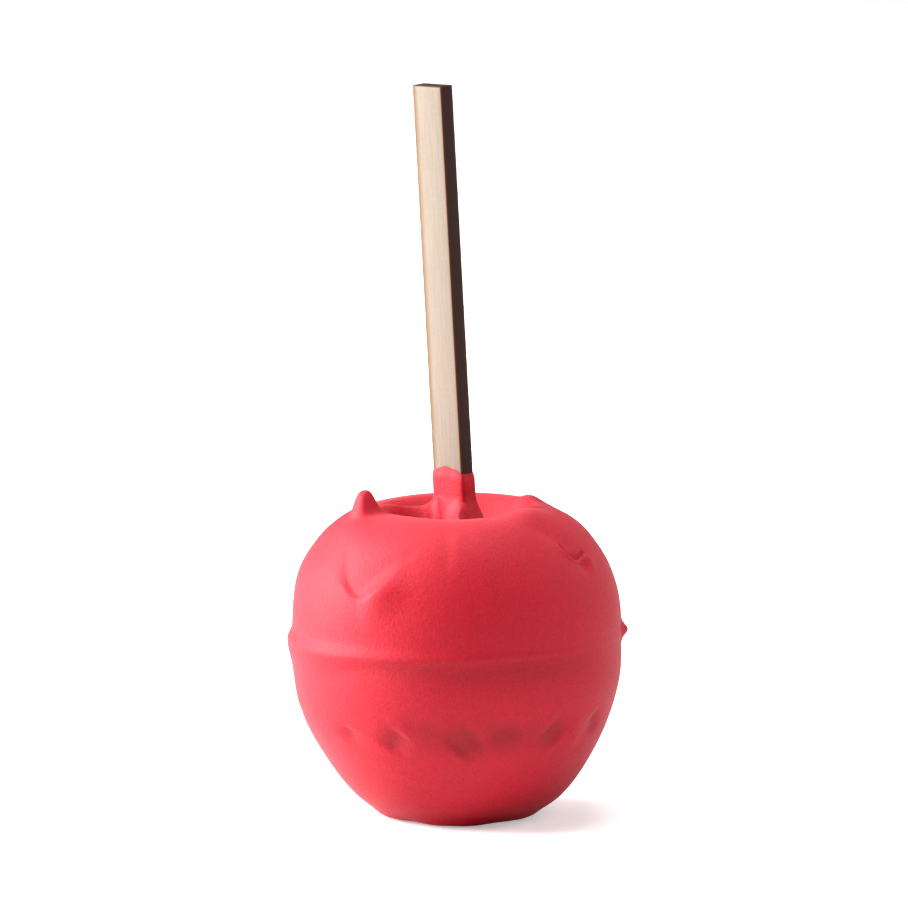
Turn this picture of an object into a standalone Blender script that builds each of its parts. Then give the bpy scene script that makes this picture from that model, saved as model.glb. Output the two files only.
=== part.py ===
"""A toffee apple: a whole apple dipped in an opaque coating, standing on its base, on a flat wooden stick.

Units are metres and +Z is up. The origin is the middle of the flat foot that the coating set on.
An azimuth is an angle round the apple in degrees: 0 is the front (-Y) and 90 is the right (+X).
"""

import math

import bmesh
import bpy
import numpy as np
from mathutils import Vector

# The coated apple.
BELLY_RADIUS = 0.0389
BELLY_HEIGHT = 0.0460
CREST_RADIUS = 0.0203
CREST_HEIGHT = 0.0743
FOOT_RADIUS = 0.0130
LOWER_OUTLINE = [
    (BELLY_RADIUS, BELLY_HEIGHT),
    (0.0386, 0.0345),
    (0.0355, 0.0230),
    (0.0308, 0.0140),
    (0.0247, 0.0060),
    (0.0180, 0.0012),
    (FOOT_RADIUS, 0.0),
]
AZIMUTH_STEPS = 80
SHOULDER_STEPS = 10
LOWER_STEPS = [6, 3, 3, 2, 2, 1]

# The hollow round the stick and the collar of coating that climbs it.
VALLEY_RADIUS = 0.0098
VALLEY_HEIGHT = 0.0668
VALLEY_STEPS = 5
COLLAR_TOP = 0.0834
COLLAR_FOOT = 0.0768
COLLAR_TURNED_RADIUS = 0.0040
COLLAR_WALL = 0.0008
COLLAR_CORNER_POWER = 8
COLLAR_STEPS = 5
COLLAR_EDGE_WAVE = 0.0007

# The stick, a flat strip that leans to the left.
STICK_WIDTH = 0.0095
STICK_THICKNESS = 0.0039
STICK_LENGTH = 0.1500
STICK_TOP = 0.1748
STICK_TURN = math.radians(-45)
STICK_LEAN = math.radians(-3.06)
STICK_PIVOT = Vector((0, 0, 0.070))
STICK_EDGE = 0.00015
CLEARANCE = 0.0003

# The ridge round the widest part, which is bold on the left and faint on the right.
RING_HEIGHT = 0.0435
RING_TILT = 0.0009
RING_PROUD = 0.0011
RING_FADED = 0.0003
RING_RISE = 0.0013
RING_FALL = 0.0030

# Where the coating set in points and dents: azimuth, height, reach and how far it stands out.
HORN = (-65, 0.0737, 0.0033, 0.0056)
BACK_HORN = (123, 0.0743, 0.0022, 0.0014)
NUB = (90, 0.0446, 0.0016, 0.0016)
CREST_SWELLINGS = [
    (51, 0.0743, 0.0070, 0.0012),
    (-5, 0.0743, 0.0060, -0.0004),
    (-98, 0.0722, 0.0080, -0.0009),
    (-125, 0.0743, 0.0100, -0.0006),
    (105, 0.0722, 0.0100, -0.0010),
]
LOWER_DENTS = [
    (-44, 0.0237, 0.0030, -0.0006),
    (-24, 0.0234, 0.0036, -0.0011),
    (5, 0.0230, 0.0044, -0.0014),
    (20, 0.0252, 0.0034, -0.0009),
    (39, 0.0246, 0.0036, -0.0010),
    (62, 0.0248, 0.0030, -0.0008),
    (97, 0.0244, 0.0036, -0.0008),
    (128, 0.0238, 0.0032, -0.0007),
    (163, 0.0246, 0.0040, -0.0010),
    (196, 0.0240, 0.0034, -0.0008),
    (231, 0.0247, 0.0036, -0.0009),
    (272, 0.0239, 0.0030, -0.0006),
]
SHOULDER_DIMPLES = [(58, 0.0631, 0.0022, -0.0008), (50, 0.0713, 0.0024, -0.0004)]

# Folds, drawn as lines on the surface: the line's points, its half width and how far it stands out.
SCOOP_CREASE = ([(-50, 0.0610), (-45, 0.0593), (-38.5, 0.0570)], 0.0012, -0.0008)
SCOOP_RIDGE = ([(-37, 0.0572), (-31, 0.0598), (-24, 0.0642)], 0.0022, 0.0008)
SCOOP_HOLLOW = ([(-58, 0.0690), (-44, 0.0620)], 0.0060, -0.0006)
RIGHT_FOLD = ([(51, 0.0677), (57, 0.0650), (64, 0.0655)], 0.0012, -0.0009)
FRONT_GROOVE = ([(-5, 0.0735), (-3, 0.0655)], 0.0030, -0.0004)
FOLDS = [SCOOP_CREASE, SCOOP_RIDGE, SCOOP_HOLLOW, RIGHT_FOLD, FRONT_GROOVE]

# The web of coating across the hollow, from the collar's left corner to the horn.
WEB_FROM = (-0.0060, 0.0020)
WEB_TO = (-0.0200, 0.0010)
WEB_HEIGHT = 0.0738
WEB_HALF_WIDTH = 0.0024

# The foot's outline isn't round: it has soft lobes.
FOOT_LOBES = 5
FOOT_LOBE_DEPTH = 0.0008
FOOT_LOBE_REACH = 0.0030

# The middle of the apple, which dents and swellings are pushed towards and away from.
CORE = np.array([0.0, 0.0, 0.042])
# How far from a small mark the mesh is split once, and twice.
FINE_REACH = 0.0050
FINEST_REACH = 0.0036


def clear_scene():
    for obj in list(bpy.data.objects):
        bpy.data.objects.remove(obj, do_unlink=True)


def new_collection(name):
    collection = bpy.data.collections.new(name)
    bpy.context.scene.collection.children.link(collection)
    return collection


def new_material(name, colour, roughness):
    """A Principled material with a plain colour; nothing on this object is metal."""
    material = bpy.data.materials.new(name)
    material.use_nodes = True
    shader = material.node_tree.nodes["Principled BSDF"]
    shader.inputs["Base Color"].default_value = (*colour, 1)
    shader.inputs["Roughness"].default_value = roughness
    shader.inputs["Metallic"].default_value = 0
    material.diffuse_color = (*colour, 1)
    return material


def smooth_outline(corners, steps):
    """Points along a smooth curve through the corners; steps says how many each stretch is split into."""
    padded = [np.array(corner) for corner in (corners[0], *corners, corners[-1])]
    points = [padded[0]]
    for first, count in enumerate(steps):
        before, start, end, after = padded[first : first + 4]
        for step in range(1, count + 1):
            t = step / count
            line = 2 * start + (end - before) * t
            bend = (2 * before - 5 * start + 4 * end - after) * t**2
            twist = (3 * start - before - 3 * end + after) * t**3
            points.append((line + bend + twist) / 2)
    return points


def shoulder_outline():
    """A quarter of an ellipse, from just outside the crest down to just above the belly."""
    across = BELLY_RADIUS - CREST_RADIUS
    down = CREST_HEIGHT - BELLY_HEIGHT
    turns = [math.pi / 2 * step / SHOULDER_STEPS for step in range(1, SHOULDER_STEPS)]
    return [
        (CREST_RADIUS + across * math.sin(turn), BELLY_HEIGHT + down * math.cos(turn)) for turn in turns
    ]


def hollow_outline():
    """From the collar's top, down its side, through the valley and up to the crest."""
    collar_across = VALLEY_RADIUS - COLLAR_TURNED_RADIUS
    collar_down = COLLAR_FOOT - VALLEY_HEIGHT
    hollow_across = CREST_RADIUS - VALLEY_RADIUS
    hollow_depth = CREST_HEIGHT - VALLEY_HEIGHT
    points = [
        (0.0, COLLAR_TOP),
        (COLLAR_TURNED_RADIUS * 0.92, COLLAR_TOP),
        (COLLAR_TURNED_RADIUS, COLLAR_TOP - 0.0010),
        (COLLAR_TURNED_RADIUS, (COLLAR_TOP + COLLAR_FOOT) / 2),
    ]
    for step in range(COLLAR_STEPS):
        turn = math.pi / 2 * step / COLLAR_STEPS
        points.append(
            (VALLEY_RADIUS - collar_across * math.cos(turn), COLLAR_FOOT - collar_down * math.sin(turn))
        )
    for step in range(VALLEY_STEPS + 1):
        part = step / VALLEY_STEPS
        rise = math.sin(math.pi / 2 * part) ** 2
        points.append((VALLEY_RADIUS + hollow_across * part, VALLEY_HEIGHT + hollow_depth * rise))
    return points


def turned_body():
    """The apple and its collar as a plain turned shape, before anything is uneven."""
    lower_half = smooth_outline(LOWER_OUTLINE, LOWER_STEPS)
    outline = [*hollow_outline(), *shoulder_outline(), *lower_half, (0.0, 0.0)]
    mesh = bpy.data.meshes.new("turned_outline")
    mesh.from_pydata(
        [(radius, 0, height) for radius, height in outline],
        [(k, k + 1) for k in range(len(outline) - 1)],
        [],
    )
    outline_object = bpy.data.objects.new("turned_outline", mesh)
    bpy.context.scene.collection.objects.link(outline_object)
    screw = outline_object.modifiers.new("turn", "SCREW")
    screw.steps = AZIMUTH_STEPS
    screw.render_steps = AZIMUTH_STEPS
    screw.use_merge_vertices = True
    screw.merge_threshold = 0.0001
    evaluated = outline_object.evaluated_get(bpy.context.evaluated_depsgraph_get())
    turned = bpy.data.meshes.new_from_object(evaluated)
    bpy.data.objects.remove(outline_object)
    return turned


def azimuths(points):
    return np.arctan2(points[:, 0], -points[:, 1])


def radii(points):
    return np.hypot(points[:, 0], points[:, 1])


def radius_at(height):
    """The plain turned radius of the outside at a height."""
    if height < BELLY_HEIGHT:
        lower = np.array(smooth_outline(LOWER_OUTLINE, LOWER_STEPS))[::-1]
        return float(np.interp(height, lower[:, 1], lower[:, 0]))
    part = min((height - BELLY_HEIGHT) / (CREST_HEIGHT - BELLY_HEIGHT), 1)
    return CREST_RADIUS + (BELLY_RADIUS - CREST_RADIUS) * math.sqrt(1 - part**2)


def on_body(azimuth, height):
    turn = math.radians(azimuth)
    radius = radius_at(height)
    return np.array([radius * math.sin(turn), -radius * math.cos(turn), height])


def bell(distance, reach):
    return np.exp(-((distance / reach) ** 2))


def smooth_step(value):
    value = np.clip(value, 0, 1)
    return value * value * (3 - 2 * value)


def dab(points, mark):
    azimuth, height, reach, proud = mark
    return proud * bell(np.linalg.norm(points - on_body(azimuth, height), axis=1), reach)


def distance_to_segment(points, start, end):
    along = end - start
    part = np.clip((points - start) @ along / (along @ along), 0, 1)
    return np.linalg.norm(points - start - part[:, None] * along, axis=1)


def stroke(points, fold):
    marks, half_width, proud = fold
    places = [on_body(*mark) for mark in marks]
    distances = [distance_to_segment(points, a, b) for a, b in zip(places, places[1:])]
    return proud * bell(np.min(distances, axis=0), half_width)


def ring(points):
    """The ridge's height and boldness change slowly round the apple; its lower flank is the softer one."""
    turn = azimuths(points)
    middle = RING_HEIGHT + RING_TILT * np.sin(turn)
    left = smooth_step(0.5 - 0.75 * np.sin(turn + math.radians(15)))
    proud = RING_FADED + (RING_PROUD - RING_FADED) * left
    above = points[:, 2] - middle
    reach = np.where(above > 0, RING_RISE, RING_FALL)
    return proud * bell(above, reach)


def raise_web(points):
    start = np.array([*WEB_FROM, 0])
    end = np.array([*WEB_TO, 0])
    flat = points * np.array([1, 1, 0])
    near = bell(distance_to_segment(flat, start, end), WEB_HALF_WIDTH)
    in_hollow = (radii(points) < CREST_RADIUS) & (points[:, 2] > BELLY_HEIGHT)
    lift = np.where(in_hollow, WEB_HEIGHT - points[:, 2], 0)
    points[:, 2] += np.maximum(lift, 0) * near


def lobe_foot(points):
    turn = azimuths(points)
    low = bell(points[:, 2], FOOT_LOBE_REACH)
    shrink = 1 - FOOT_LOBE_DEPTH / FOOT_RADIUS * low * (0.5 - 0.5 * np.cos(FOOT_LOBES * turn))
    points[:, :2] *= shrink[:, None]


def shape_collar(points):
    """Turns the round collar into the stick's rectangle with round corners, leaning as the stick does."""
    radius = radii(points)
    turn = np.arctan2(points[:, 1], points[:, 0]) - STICK_TURN
    half_width = STICK_WIDTH / 2 + COLLAR_WALL
    half_thickness = STICK_THICKNESS / 2 + COLLAR_WALL
    power = COLLAR_CORNER_POWER
    wide = np.abs(np.cos(turn) / half_width)
    deep = np.abs(np.sin(turn) / half_thickness)
    section = (wide**power + deep**power) ** (-1 / power)
    near = 1 - smooth_step((radius - COLLAR_TURNED_RADIUS) / (VALLEY_RADIUS - COLLAR_TURNED_RADIUS))
    points[:, :2] *= (1 + near * (section / COLLAR_TURNED_RADIUS - 1))[:, None]
    climb = smooth_step((points[:, 2] - COLLAR_FOOT) / (COLLAR_TOP - COLLAR_FOOT))
    points[:, 2] += COLLAR_EDGE_WAVE * np.cos(2 * turn - math.pi) * climb * (radius > 0)
    points[:, 0] += near * math.tan(STICK_LEAN) * (points[:, 2] - STICK_PIVOT.z)


def sculpted(points):
    """The turned points with every swelling, dent and fold; the flat foot stays flat."""
    outside = (radii(points) >= CREST_RADIUS - 1e-6) | (points[:, 2] < VALLEY_HEIGHT)
    away = points - CORE
    away /= np.linalg.norm(away, axis=1)[:, None]
    pushed = ring(points)
    for mark in [NUB, *LOWER_DENTS, *SHOULDER_DIMPLES]:
        pushed += dab(points, mark)
    for fold in FOLDS:
        pushed += stroke(points, fold)
    lifted = sum(dab(points, mark) for mark in [HORN, BACK_HORN, *CREST_SWELLINGS])
    moved = points + away * (pushed * outside * (points[:, 2] > 0))[:, None]
    moved[:, 2] += lifted
    raise_web(moved)
    lobe_foot(moved)
    shape_collar(moved)
    return moved


def split_edges_near(body, centres, reach):
    """Halves each edge whose middle lies within reach of one of the centres."""
    near = []
    for edge in body.edges:
        middle = (edge.verts[0].co + edge.verts[1].co) / 2
        if any((middle - centre).length < reach for centre in centres):
            near.append(edge)
    bmesh.ops.subdivide_edges(body, edges=near, cuts=1, use_grid_fill=True)


def refine_near_marks(body):
    """Gives the small points, dents and folds the finer mesh that their shape needs."""
    points = [Vector(on_body(*mark[:2])) for mark in (HORN, BACK_HORN, NUB)]
    creases = [Vector(on_body(*place)) for marks, _, _ in (SCOOP_CREASE, RIGHT_FOLD) for place in marks]
    split_edges_near(body, points + creases, FINE_REACH)
    split_edges_near(body, points, FINEST_REACH)


def make_coated_apple(collection, cutter):
    mesh = turned_body()
    body = bmesh.new()
    body.from_mesh(mesh)
    refine_near_marks(body)
    bmesh.ops.triangulate(body, faces=body.faces)
    body.to_mesh(mesh)
    body.free()
    places = np.empty(len(mesh.vertices) * 3)
    mesh.vertices.foreach_get("co", places)
    mesh.vertices.foreach_set("co", sculpted(places.reshape(-1, 3)).ravel())
    mesh.shade_smooth()
    apple = bpy.data.objects.new("coated_apple", mesh)
    apple.data.materials.clear()
    apple.data.materials.append(new_material("coating", (0.72, 0.055, 0.085), 0.42))
    slot = apple.modifiers.new("stick_slot", "BOOLEAN")
    slot.operation = "DIFFERENCE"
    slot.solver = "EXACT"
    slot.object = cutter
    collection.objects.link(apple)
    return apple


def make_box(name, width, thickness, low, high, parent, collection):
    """A box on the stick's axis; low and high are heights along it, from the pivot."""
    mesh = bpy.data.meshes.new(name)
    box = bmesh.new()
    bmesh.ops.create_cube(box, size=1)
    bmesh.ops.scale(box, vec=(width, thickness, high - low), verts=box.verts)
    box.to_mesh(mesh)
    box.free()
    obj = bpy.data.objects.new(name, mesh)
    obj.location = (0, 0, (low + high) / 2)
    obj.rotation_euler = (0, 0, STICK_TURN)
    obj.parent = parent
    collection.objects.link(obj)
    return obj


def make_stick_axis(collection):
    axis = bpy.data.objects.new("stick_axis", None)
    axis.location = STICK_PIVOT
    axis.rotation_euler = (0, STICK_LEAN, 0)
    collection.objects.link(axis)
    return axis


def make_stick(collection, axis, low, high):
    stick = make_box("stick", STICK_WIDTH, STICK_THICKNESS, low, high, axis, collection)
    stick.data.materials.append(new_material("wood", (0.80, 0.60, 0.42), 0.6))
    edges = stick.modifiers.new("edges", "BEVEL")
    edges.width = STICK_EDGE
    edges.segments = 1
    return stick


def make_slot_cutter(collection, axis, low):
    cutter = make_box(
        "slot_cutter",
        STICK_WIDTH + 2 * CLEARANCE,
        STICK_THICKNESS + 2 * CLEARANCE,
        low - CLEARANCE,
        COLLAR_TOP - STICK_PIVOT.z + 0.005,
        axis,
        collection,
    )
    cutter.display_type = "WIRE"
    cutter.hide_render = True
    return cutter


def main():
    clear_scene()
    parts = new_collection("toffee_apple")
    cutters = new_collection("cutters")
    axis = make_stick_axis(parts)
    high = (STICK_TOP - STICK_PIVOT.z) / math.cos(STICK_LEAN)
    low = high - STICK_LENGTH
    make_stick(parts, axis, low, high)
    make_coated_apple(parts, make_slot_cutter(cutters, axis, low))


main()
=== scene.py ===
# %% [markdown]
# # A toffee apple
#
# A whole apple was put on a flat wooden stick, dipped in an opaque pink-red coating and stood on its base
# to set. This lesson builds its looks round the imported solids: the coating as one sculpted skin, the
# stick with its scorched edges, and a plain studio to see them in. Everything is in metres, with +Z up
# and the front at -Y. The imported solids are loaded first, and nothing here moves them.

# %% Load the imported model
import math

import bmesh
import bpy
import numpy as np
from mathutils import Matrix, Vector


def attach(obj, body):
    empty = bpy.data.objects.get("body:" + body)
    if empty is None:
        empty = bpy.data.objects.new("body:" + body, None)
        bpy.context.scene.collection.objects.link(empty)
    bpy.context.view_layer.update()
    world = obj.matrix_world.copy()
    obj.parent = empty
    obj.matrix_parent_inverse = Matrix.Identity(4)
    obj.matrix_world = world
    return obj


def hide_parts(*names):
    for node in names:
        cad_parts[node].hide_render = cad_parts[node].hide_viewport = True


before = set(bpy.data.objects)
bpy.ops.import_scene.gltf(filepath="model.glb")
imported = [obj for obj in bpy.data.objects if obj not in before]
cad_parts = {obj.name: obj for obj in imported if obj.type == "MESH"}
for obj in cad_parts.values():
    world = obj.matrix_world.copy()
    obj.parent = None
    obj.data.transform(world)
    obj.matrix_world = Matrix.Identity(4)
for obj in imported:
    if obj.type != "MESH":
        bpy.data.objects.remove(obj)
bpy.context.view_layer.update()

print("nodes:", sorted(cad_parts))

# %% [markdown]
# ## Where the stick is
#
# The stick leans a little and is turned on its axis, so its own directions are read from the solid's
# corners. A thin box spreads most along its length, then its width, then its thickness, and that is what
# the singular value decomposition of its corners gives, in that order.

# %% Measure the stick's directions
stick_corners = np.array([v.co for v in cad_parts["stick"].data.vertices])
stick_middle = stick_corners.mean(axis=0)
_, _, stick_directions = np.linalg.svd(stick_corners - stick_middle, full_matrices=False)
along = stick_directions[0] * np.sign(stick_directions[0][2])
across = stick_directions[1] * np.sign(stick_directions[1][0])
through = np.cross(along, across)
half_sizes = [np.ptp(stick_corners @ axis) / 2 for axis in (across, through, along)]
half_width, half_thickness, half_length = half_sizes
stick_frame = Matrix((across, through, along)).transposed().to_4x4()
stick_frame.translation = Vector(stick_middle)
print("half sizes, mm:", [round(size * 1000, 2) for size in half_sizes])

# %% [markdown]
# ## The apple's outline
#
# A dipped apple is close to a turned shape, so it starts as one outline, from the bottom of the slot that
# the stick stands in, over the lip of the coating, down the collar, through the hollow, over the crest
# and shoulder and down to the foot. The shoulder is a quarter of an ellipse, and the rest are smooth
# curves through a few places, each with a radius and a height. The rows lie closer where the surface has
# small features.

# %% Draw the outline
BELLY_RADIUS = 0.0389
BELLY_HEIGHT = 0.0460
CREST_RADIUS = 0.0203
CREST_HEIGHT = 0.0743
VALLEY_RADIUS = 0.0105
VALLEY_HEIGHT = 0.0670
FOOT_RADIUS = 0.0128
SLOT_RADIUS = 0.0030
SLOT_ROWS = (0.060, 0.078)
COLLAR_RADIUS = 0.0040
COLLAR_FOOT = 0.0772
COLLAR_EDGE = 0.0825


def smooth_line(places, steps):
    """Points on a smooth curve through the places, with this many steps in each stretch."""
    padded = [np.array(place) for place in (places[0], *places, places[-1])]
    points = [padded[1]]
    for first, count in enumerate(steps):
        before, start, end, after = padded[first : first + 4]
        for t in np.arange(1, count + 1) / count:
            line = 2 * start + (end - before) * t
            bend = (2 * before - 5 * start + 4 * end - after) * t**2
            twist = (3 * start - before - 3 * end + after) * t**3
            points.append((line + bend + twist) / 2)
    return points


slot_bottom = stick_middle[2] - half_length
slot_wall = [(0, slot_bottom), *((SLOT_RADIUS, height) for height in (slot_bottom, *SLOT_ROWS))]
slot_wall += [(SLOT_RADIUS, COLLAR_EDGE - down) for down in (0.0020, 0.0010, 0.0004, 0.0001)]
lip = [(SLOT_RADIUS + part * (COLLAR_RADIUS - SLOT_RADIUS), COLLAR_EDGE) for part in (0.2, 0.5, 0.8)]
lip += [(COLLAR_RADIUS, COLLAR_EDGE - down) for down in (0.0001, 0.0003, 0.0006)]
collar = [(COLLAR_RADIUS, height) for height in np.linspace(COLLAR_EDGE - 0.0010, COLLAR_FOOT, 14)]
collar_foot_places = [
    (COLLAR_RADIUS, COLLAR_FOOT),
    (0.0043, 0.0752),
    (0.0052, 0.0727),
    (0.0070, 0.0694),
    (VALLEY_RADIUS, VALLEY_HEIGHT),
]
collar_foot = smooth_line(collar_foot_places, [6, 7, 7, 6])[1:]
hollow_turns = np.linspace(0, math.pi / 2, 23)[1:]
hollow = [
    (
        VALLEY_RADIUS + turn / (math.pi / 2) * (CREST_RADIUS - VALLEY_RADIUS),
        VALLEY_HEIGHT + (CREST_HEIGHT - VALLEY_HEIGHT) * math.sin(turn) ** 2,
    )
    for turn in hollow_turns
]
shoulder = [
    (
        CREST_RADIUS + (BELLY_RADIUS - CREST_RADIUS) * math.sin(turn),
        BELLY_HEIGHT + (CREST_HEIGHT - BELLY_HEIGHT) * math.cos(turn),
    )
    for turn in np.linspace(0, math.pi / 2, 63)[1:]
]
lower_places = [
    (BELLY_RADIUS, BELLY_HEIGHT),
    (0.0386, 0.0345),
    (0.0355, 0.0230),
    (0.0308, 0.0140),
    (0.0247, 0.0060),
    (0.0180, 0.0012),
    (FOOT_RADIUS, 0.0),
]
lower_half = smooth_line(lower_places, [22, 18, 12, 12, 10, 5])[1:]
foot = [(FOOT_RADIUS * part, 0.0) for part in (0.8, 0.4, 0)]
outline = [*slot_wall, *lip, *collar, *collar_foot, *hollow, *shoulder, *lower_half, *foot]
print("the outline has", len(outline), "points")

# %% [markdown]
# ## Spinning the outline
#
# The outline is spun once round Z. A spin gets slow with many steps, so it is made in coarse ones, and
# the finer ones come from subdividing the edges that run round the apple: most of them at the front,
# where the folds are, and fewest at the plain back. New points lie on straight edges between the old
# ones, so each is then moved out onto its circle. Doubles at the two poles are merged before the normals
# are recalculated, because loose poles would leave them undecided.

# %% Spin it
SPIN_STEPS = 60
SECTORS = [(-90, -12, 9), (-12, 42, 7), (42, 78, 9), (78, 270, 5)]


def azimuth_of(place):
    """The azimuth of a place in degrees, from -90 up to 270: 0 is the front and 90 is the right."""
    return (math.degrees(math.atan2(place.x, -place.y)) + 90) % 360 - 90


def runs_round(edge):
    """Whether an edge lies along one of the circles that the spin made."""
    first, second = (vert.co for vert in edge.verts)
    level = abs(first.z - second.z) < 1e-7
    return level and abs(first.xy.length - second.xy.length) < 1e-7 and first.xy.length > 1e-6


skin = bmesh.new()
start = Matrix.Rotation(-math.pi, 3, "Z")
line_verts = [skin.verts.new(start @ Vector((radius, 0, height))) for radius, height in outline]
line_edges = [skin.edges.new(pair) for pair in zip(line_verts, line_verts[1:])]
whole_line = line_verts + line_edges
bmesh.ops.spin(
    skin, geom=whole_line, cent=(0, 0, 0), axis=(0, 0, 1), angle=math.tau, steps=SPIN_STEPS, use_merge=True
)
for first, last, parts in SECTORS:
    chosen = [
        edge
        for edge in skin.edges
        if runs_round(edge) and first < azimuth_of((edge.verts[0].co + edge.verts[1].co) / 2) < last
    ]
    bmesh.ops.subdivide_edges(skin, edges=chosen, cuts=parts - 1)
bmesh.ops.remove_doubles(skin, verts=skin.verts, dist=2e-6)
bmesh.ops.recalc_face_normals(skin, faces=skin.faces)
step_angle = math.tau / SPIN_STEPS
for vert in skin.verts:
    off_middle = math.radians(azimuth_of(vert.co)) % step_angle - step_angle / 2
    vert.co.xy *= math.cos(off_middle) / math.cos(step_angle / 2)
print("the turned skin has", len(skin.verts), "points")

# %% [markdown]
# ## Brushes for the surface
#
# Sculpting by hand would push the surface with a brush. The same can be written down: a dab pushes round
# one place, a stroke pushes along a line, and both fade with a bell curve. A place on the apple is an
# azimuth and a height, and the outline says how far out it lies. Every brush reads the plain turned
# points, so the marks can be made in any order.

# %% Make the brushes
outside_rows = np.array([*shoulder, *lower_half])[::-1]
core = np.array([0.0, 0.0, 0.042])


def on_apple(azimuth, height):
    """The place on the turned apple at an azimuth in degrees and a height in metres."""
    radius = np.interp(height, outside_rows[:, 1], outside_rows[:, 0])
    turn = math.radians(azimuth)
    return np.array([radius * math.sin(turn), -radius * math.cos(turn), height])


def bell(distance, reach):
    return np.exp(-((distance / reach) ** 2))


def smooth_step(value):
    value = np.clip(value, 0, 1)
    return value * value * (3 - 2 * value)


def azimuths(points):
    return np.degrees(np.arctan2(points[:, 0], -points[:, 1]))


def turn_from(points, azimuth):
    """How many degrees round the apple each point lies from an azimuth, from -180 up to 180."""
    return (azimuths(points) - azimuth + 180) % 360 - 180


def dab(points, azimuth, height, reach, push):
    """A round push about one place."""
    return push * bell(np.linalg.norm(points - on_apple(azimuth, height), axis=1), reach)


def swell(points, azimuth, height, wide, tall, push):
    """A broad push, wide in degrees round the apple and tall in metres."""
    return push * bell(turn_from(points, azimuth), wide) * bell(points[:, 2] - height, tall)


def line_on_apple(marks, steps=6):
    """A smooth line on the apple through the marks, each an azimuth and a height."""
    return np.array([on_apple(*mark) for mark in smooth_line(marks, [steps] * (len(marks) - 1))])


def measure_line(points, line, margin=0.008):
    """For each point: its distance to the line, its side (1 on the left going along) and how far along."""
    distance = np.full(len(points), 1.0)
    side = np.full(len(points), -1.0)
    reached = np.zeros(len(points))
    middle = line.mean(axis=0)
    reach = np.linalg.norm(line - middle, axis=1).max() + margin
    near = np.flatnonzero(np.linalg.norm(points - middle, axis=1) < reach)
    for index, (start, end) in enumerate(zip(line, line[1:])):
        step = end - start
        part = np.clip((points[near] - start) @ step / (step @ step), 0, 1)
        apart = points[near] - start - part[:, None] * step
        length = np.linalg.norm(apart, axis=1)
        closer = length < distance[near]
        chosen = near[closer]
        distance[chosen] = length[closer]
        side[chosen] = np.sign(apart[closer] @ np.cross((start + end) / 2 - core, step))
        reached[chosen] = (index + part[closer]) / (len(line) - 1)
    return distance, side, reached


def stroke(points, line, reach, push, fade=0.15):
    """A push along a line, which fades in and out over a part of its length."""
    distance, _, reached = measure_line(points, line)
    ends = smooth_step(reached / fade) * smooth_step((1 - reached) / fade)
    return push * bell(distance, reach) * ends


print("the brushes work on an apple", round(outside_rows[:, 0].max() * 2000, 1), "mm across")

# %% [markdown]
# ## Finer mesh where the marks are small
#
# The crease, the horn and the fold are smaller than the mesh's own squares elsewhere, so the edges near
# them are subdivided once more. Grid fill turns each square with four cut edges into four squares.

# %% Refine near small marks
LEAF_EDGE = [
    (-72, 0.0728),
    (-59.5, 0.0703),
    (-52.3, 0.0651),
    (-48.8, 0.0612),
    (-44.6, 0.0590),
    (-40.5, 0.0572),
    (-37, 0.0565),
]
LEAF_RIDGE = [(-38.5, 0.0549), (-33.5, 0.0560), (-29.3, 0.0582), (-25.0, 0.0612), (-21.0, 0.0648)]
RIGHT_FOLD = [
    (50.4, 0.0687),
    (51.2, 0.0670),
    (53.2, 0.0656),
    (57.0, 0.0647),
    (61.2, 0.0649),
    (65.3, 0.0658),
]
CRISP_FROM = 16

leaf_edge, leaf_ridge, right_fold = (line_on_apple(marks) for marks in (LEAF_EDGE, LEAF_RIDGE, RIGHT_FOLD))
horn_place = on_apple(-65.5, 0.0737)
nub_place = on_apple(92, 0.0445)
fine_marks = [
    (leaf_edge[CRISP_FROM:], 0.0024),
    (leaf_ridge, 0.0016),
    (right_fold, 0.0022),
    (horn_place[None], 0.0050),
    (nub_place[None], 0.0020),
]


def near_marks(edge):
    middle = np.array(edge.verts[0].co + edge.verts[1].co) / 2
    return any(np.linalg.norm(marks - middle, axis=1).min() < reach for marks, reach in fine_marks)


def on_upper_half(place):
    return 0.035 < place.z < 0.0765 and place.xy.length > 0.015


fine_edges = [edge for edge in skin.edges if on_upper_half(edge.verts[0].co) and near_marks(edge)]
bmesh.ops.subdivide_edges(skin, edges=fine_edges, cuts=1, use_grid_fill=True)
skin.verts.ensure_lookup_table()
turned = np.array([vert.co for vert in skin.verts])
triangle_count = sum(len(face.verts) - 2 for face in skin.faces)
print("refined", len(fine_edges), "edges; the skin now has", len(turned), "points")
print("it will have", triangle_count, "triangles")

# %% [markdown]
# ## The uneven body
#
# No apple is a true solid of revolution. A few broad swells make the left shoulder squarer and the foot
# lean to the right, and the back gets its own, so that it isn't plain from behind. A swell is an azimuth
# and a height, how wide it is in degrees and how tall in metres, and its push.

# %% Swell the body
BODY_SWELLS = [
    (-90, 0.0600, 40, 0.0080, 0.0006),
    (-90, 0.0650, 35, 0.0050, -0.0005),
    (90, 0.0660, 40, 0.0040, -0.0003),
    (90, 0.0520, 40, 0.0060, 0.0003),
    (90, 0.0310, 45, 0.0150, 0.0005),
    (90, 0.0080, 50, 0.0100, 0.0009),
    (-90, 0.0265, 45, 0.0060, 0.0005),
    (-90, 0.0060, 50, 0.0080, -0.0001),
    (150, 0.0560, 35, 0.0120, 0.0005),
    (205, 0.0300, 30, 0.0150, -0.0005),
]


def body_push(points):
    return sum(swell(points, *broad) for broad in BODY_SWELLS)


print("the swells reach", round(float(np.abs(body_push(turned)).max()) * 1000, 2), "mm")

# %% [markdown]
# ## The ring round the belly
#
# A second, shorter dip left a step all round the belly: a soft rounded edge on the left, where the
# coating is thick, thinning to a crisp hairline at the front right. It is a bell curve across the line,
# with a longer reach above than below, and its strength follows the azimuth.

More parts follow.
